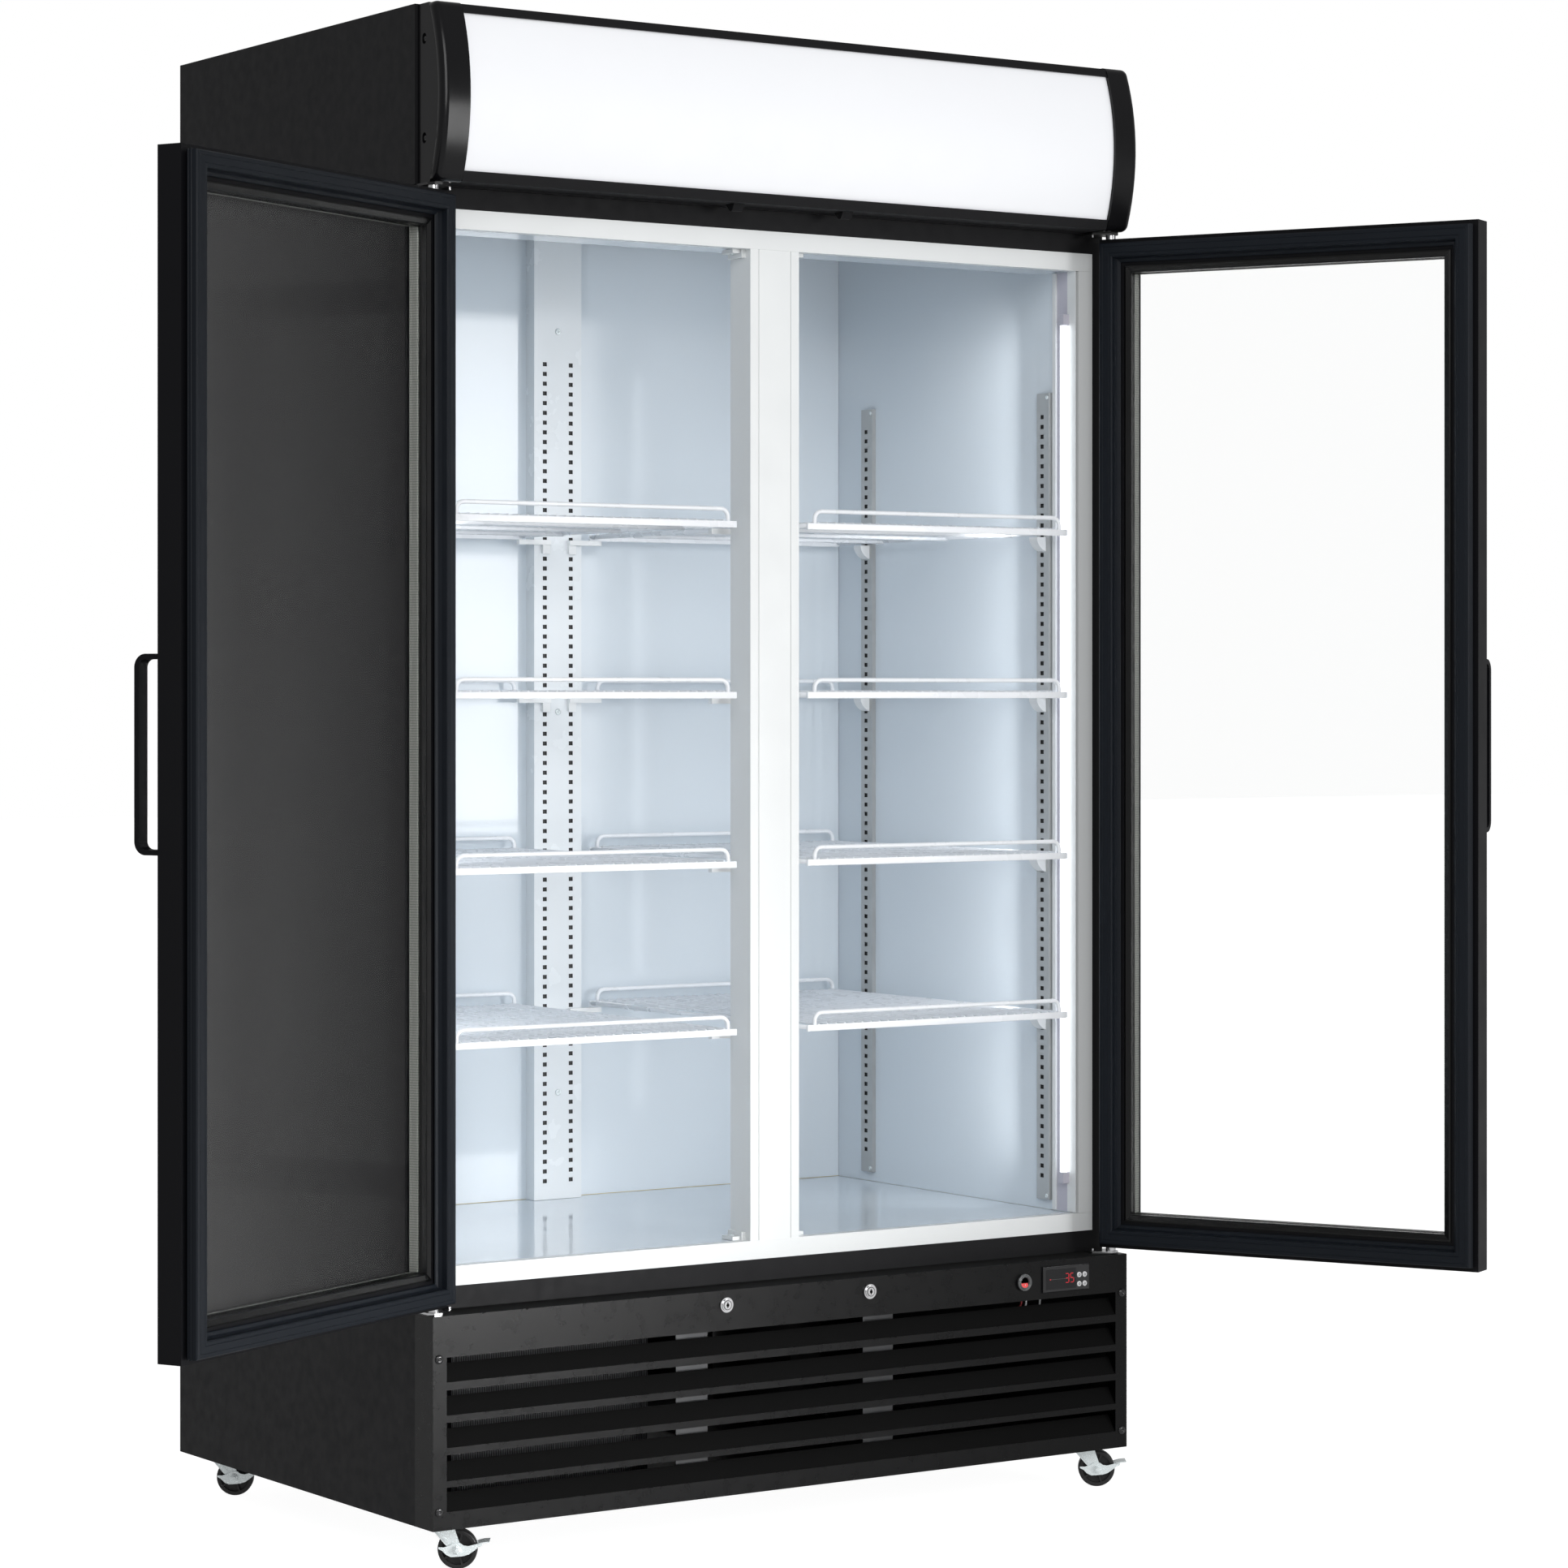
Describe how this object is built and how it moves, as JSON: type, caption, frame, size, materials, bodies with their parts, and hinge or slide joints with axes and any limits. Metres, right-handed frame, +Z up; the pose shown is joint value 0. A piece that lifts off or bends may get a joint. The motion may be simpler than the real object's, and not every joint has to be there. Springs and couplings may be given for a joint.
{
  "type": "glass door merchandiser refrigerator",
  "caption": "Upright refrigerated merchandiser with two swinging glass doors, lit canopy, wire shelves, louvred lower panel and swivel casters.",
  "frame": {"origin": "on the floor under the centre of the cabinet's footprint, doors left out", "axes": "+Z up, +X to the right seen from the front, +Y to the back, out of the rear panel"},
  "size_m": [1.9013, 1.1811, 1.99],
  "materials": {
    "black_paint": "satin",
    "black_extrusion": "satin",
    "black_plastic": "gloss",
    "black_matte_plastic": "matte",
    "white_paint": "satin",
    "white_plastic": "satin",
    "white_wire": "gloss",
    "galvanised": "satin",
    "chrome": "polished",
    "foam": "matte",
    "glass": "polished",
    "rubber": "matte",
    "sign_acrylic": "gloss",
    "lamp": "gloss",
    "core": "satin",
    "red_plastic": "gloss",
    "silver_plastic": "satin"
  },
  "bodies": {
    "cabinet": {"side_panel_left": "black_paint", "side_panel_right": "black_paint", "back_panel": "black_paint", "top_panel": "black_paint", "front_fascia": "black_paint", "lower_panel": "black_paint", "canopy_housing": "black_paint", "compressor": "black_paint", "base_frame": "galvanised", "side_pilasters": "galvanised", "caster_plates": "galvanised", "insulation": "foam", "liner": "white_paint", "face_frame": "white_paint", "mullion": "white_paint", "back_duct": "white_paint", "evaporator": "white_paint", "cord_gland": "black_matte_plastic", "condenser": "core", "shelves_left": "white_wire", "shelves_right": "white_wire", "shelf_clips": "white_plastic", "interior_lamps": "lamp", "canopy_caps": "black_plastic", "switch_bezel": "black_plastic", "controller": "black_plastic", "sign_panel": "sign_acrylic", "lock_barrels": "chrome", "hinge_brackets": "chrome", "fasteners": "chrome"},
    "door_left": {"door_frame_left": "black_extrusion", "door_glass_left": "glass", "door_gasket_left": "rubber", "door_handle_left": "black_extrusion"},
    "door_right": {"door_frame_right": "black_extrusion", "door_glass_right": "glass", "door_gasket_right": "rubber", "door_handle_right": "black_extrusion"},
    "lock_left": {"lock_plug_left": "chrome"},
    "lock_right": {"lock_plug_right": "chrome"},
    "rocker": {"switch_rocker": "red_plastic"},
    "button_1": {"controller_button_1": "silver_plastic"},
    "button_2": {"controller_button_2": "silver_plastic"},
    "button_3": {"controller_button_3": "silver_plastic"},
    "button_4": {"controller_button_4": "silver_plastic"},
    "swivel_front_left": {"caster_fork_front_left": "chrome"},
    "wheel_front_left": {"caster_wheel_front_left": "black_matte_plastic"},
    "brake_front_left": {"caster_brake_front_left": "chrome"},
    "swivel_front_right": {"caster_fork_front_right": "chrome"},
    "wheel_front_right": {"caster_wheel_front_right": "black_matte_plastic"},
    "brake_front_right": {"caster_brake_front_right": "chrome"},
    "swivel_rear_left": {"caster_fork_rear_left": "chrome"},
    "wheel_rear_left": {"caster_wheel_rear_left": "black_matte_plastic"},
    "brake_rear_left": {"caster_brake_rear_left": "chrome"},
    "swivel_rear_right": {"caster_fork_rear_right": "chrome"},
    "wheel_rear_right": {"caster_wheel_rear_right": "black_matte_plastic"},
    "brake_rear_right": {"caster_brake_rear_right": "chrome"},
    "condenser_blower": {"condenser_fan": "black_matte_plastic"},
    "evaporator_blower_left": {"evaporator_fan_left": "black_matte_plastic"},
    "evaporator_blower_right": {"evaporator_fan_right": "black_matte_plastic"}
  },
  "joints": [
    {"name": "door_left_swing", "type": "hinge", "parent": "cabinet", "child": "door_left", "pos_m": [-0.5476, -0.3338, 1.0435], "axis": [0, 0, 1], "range_deg": [-4.5, 153.5]},
    {"name": "door_right_swing", "type": "hinge", "parent": "cabinet", "child": "door_right", "pos_m": [0.5476, -0.3338, 1.0435], "axis": [0, 0, 1], "range_deg": [-117, 41]},
    {"name": "lock_left_turn", "type": "hinge", "parent": "cabinet", "child": "lock_left", "pos_m": [-0.116, -0.354, 0.308], "axis": [0, 1, 0], "range_deg": [0, 90]},
    {"name": "lock_right_turn", "type": "hinge", "parent": "cabinet", "child": "lock_right", "pos_m": [0.116, -0.354, 0.308], "axis": [0, 1, 0], "range_deg": [0, 90]},
    {"name": "rocker_tip", "type": "hinge", "parent": "cabinet", "child": "rocker", "pos_m": [0.377, -0.352, 0.3006], "axis": [1, 0, 0], "range_deg": [0, 14]},
    {"name": "button_1_press", "type": "slide", "parent": "cabinet", "child": "button_1", "axis": [0, 1, 0], "range_m": [0, 0.0012], "stiffness_N_per_m": 300, "springref_m": -0.001},
    {"name": "button_2_press", "type": "slide", "parent": "cabinet", "child": "button_2", "axis": [0, 1, 0], "range_m": [0, 0.0012], "stiffness_N_per_m": 300, "springref_m": -0.001},
    {"name": "button_3_press", "type": "slide", "parent": "cabinet", "child": "button_3", "axis": [0, 1, 0], "range_m": [0, 0.0012], "stiffness_N_per_m": 300, "springref_m": -0.001},
    {"name": "button_4_press", "type": "slide", "parent": "cabinet", "child": "button_4", "axis": [0, 1, 0], "range_m": [0, 0.0012], "stiffness_N_per_m": 300, "springref_m": -0.001},
    {"name": "swivel_front_left_turn", "type": "hinge", "parent": "cabinet", "child": "swivel_front_left", "pos_m": [-0.518, -0.316, 0.058], "axis": [0, 0, 1], "continuous": true},
    {"name": "wheel_front_left_roll", "type": "hinge", "parent": "swivel_front_left", "child": "wheel_front_left", "pos_m": [-0.50638, -0.32381, 0.0254], "axis": [0.5577, 0.83, 0], "continuous": true},
    {"name": "brake_front_left_tip", "type": "hinge", "parent": "swivel_front_left", "child": "brake_front_left", "pos_m": [-0.50638, -0.32381, 0.0254], "axis": [0.5577, 0.83, 0], "range_deg": [0, 18]},
    {"name": "swivel_front_right_turn", "type": "hinge", "parent": "cabinet", "child": "swivel_front_right", "pos_m": [0.518, -0.316, 0.058], "axis": [0, 0, 1], "continuous": true},
    {"name": "wheel_front_right_roll", "type": "hinge", "parent": "swivel_front_right", "child": "wheel_front_right", "pos_m": [0.52962, -0.32381, 0.0254], "axis": [0.5577, 0.83, 0], "continuous": true},
    {"name": "brake_front_right_tip", "type": "hinge", "parent": "swivel_front_right", "child": "brake_front_right", "pos_m": [0.52962, -0.32381, 0.0254], "axis": [0.5577, 0.83, 0], "range_deg": [0, 18]},
    {"name": "swivel_rear_left_turn", "type": "hinge", "parent": "cabinet", "child": "swivel_rear_left", "pos_m": [-0.518, 0.298, 0.058], "axis": [0, 0, 1], "continuous": true},
    {"name": "wheel_rear_left_roll", "type": "hinge", "parent": "swivel_rear_left", "child": "wheel_rear_left", "pos_m": [-0.50638, 0.29019, 0.0254], "axis": [0.5577, 0.83, 0], "continuous": true},
    {"name": "brake_rear_left_tip", "type": "hinge", "parent": "swivel_rear_left", "child": "brake_rear_left", "pos_m": [-0.50638, 0.29019, 0.0254], "axis": [0.5577, 0.83, 0], "range_deg": [0, 18]},
    {"name": "swivel_rear_right_turn", "type": "hinge", "parent": "cabinet", "child": "swivel_rear_right", "pos_m": [0.518, 0.298, 0.058], "axis": [0, 0, 1], "continuous": true},
    {"name": "wheel_rear_right_roll", "type": "hinge", "parent": "swivel_rear_right", "child": "wheel_rear_right", "pos_m": [0.52962, 0.29019, 0.0254], "axis": [0.5577, 0.83, 0], "continuous": true},
    {"name": "brake_rear_right_tip", "type": "hinge", "parent": "swivel_rear_right", "child": "brake_rear_right", "pos_m": [0.52962, 0.29019, 0.0254], "axis": [0.5577, 0.83, 0], "range_deg": [0, 18]},
    {"name": "condenser_fan_spin", "type": "hinge", "parent": "cabinet", "child": "condenser_blower", "pos_m": [-0.33, -0.172, 0.186], "axis": [0, 1, 0], "continuous": true},
    {"name": "evaporator_fan_left_spin", "type": "hinge", "parent": "cabinet", "child": "evaporator_blower_left", "pos_m": [-0.19, -0.095, 1.802], "axis": [0, 0, 1], "continuous": true},
    {"name": "evaporator_fan_right_spin", "type": "hinge", "parent": "cabinet", "child": "evaporator_blower_right", "pos_m": [0.19, -0.095, 1.802], "axis": [0, 0, 1], "continuous": true}
  ]
}
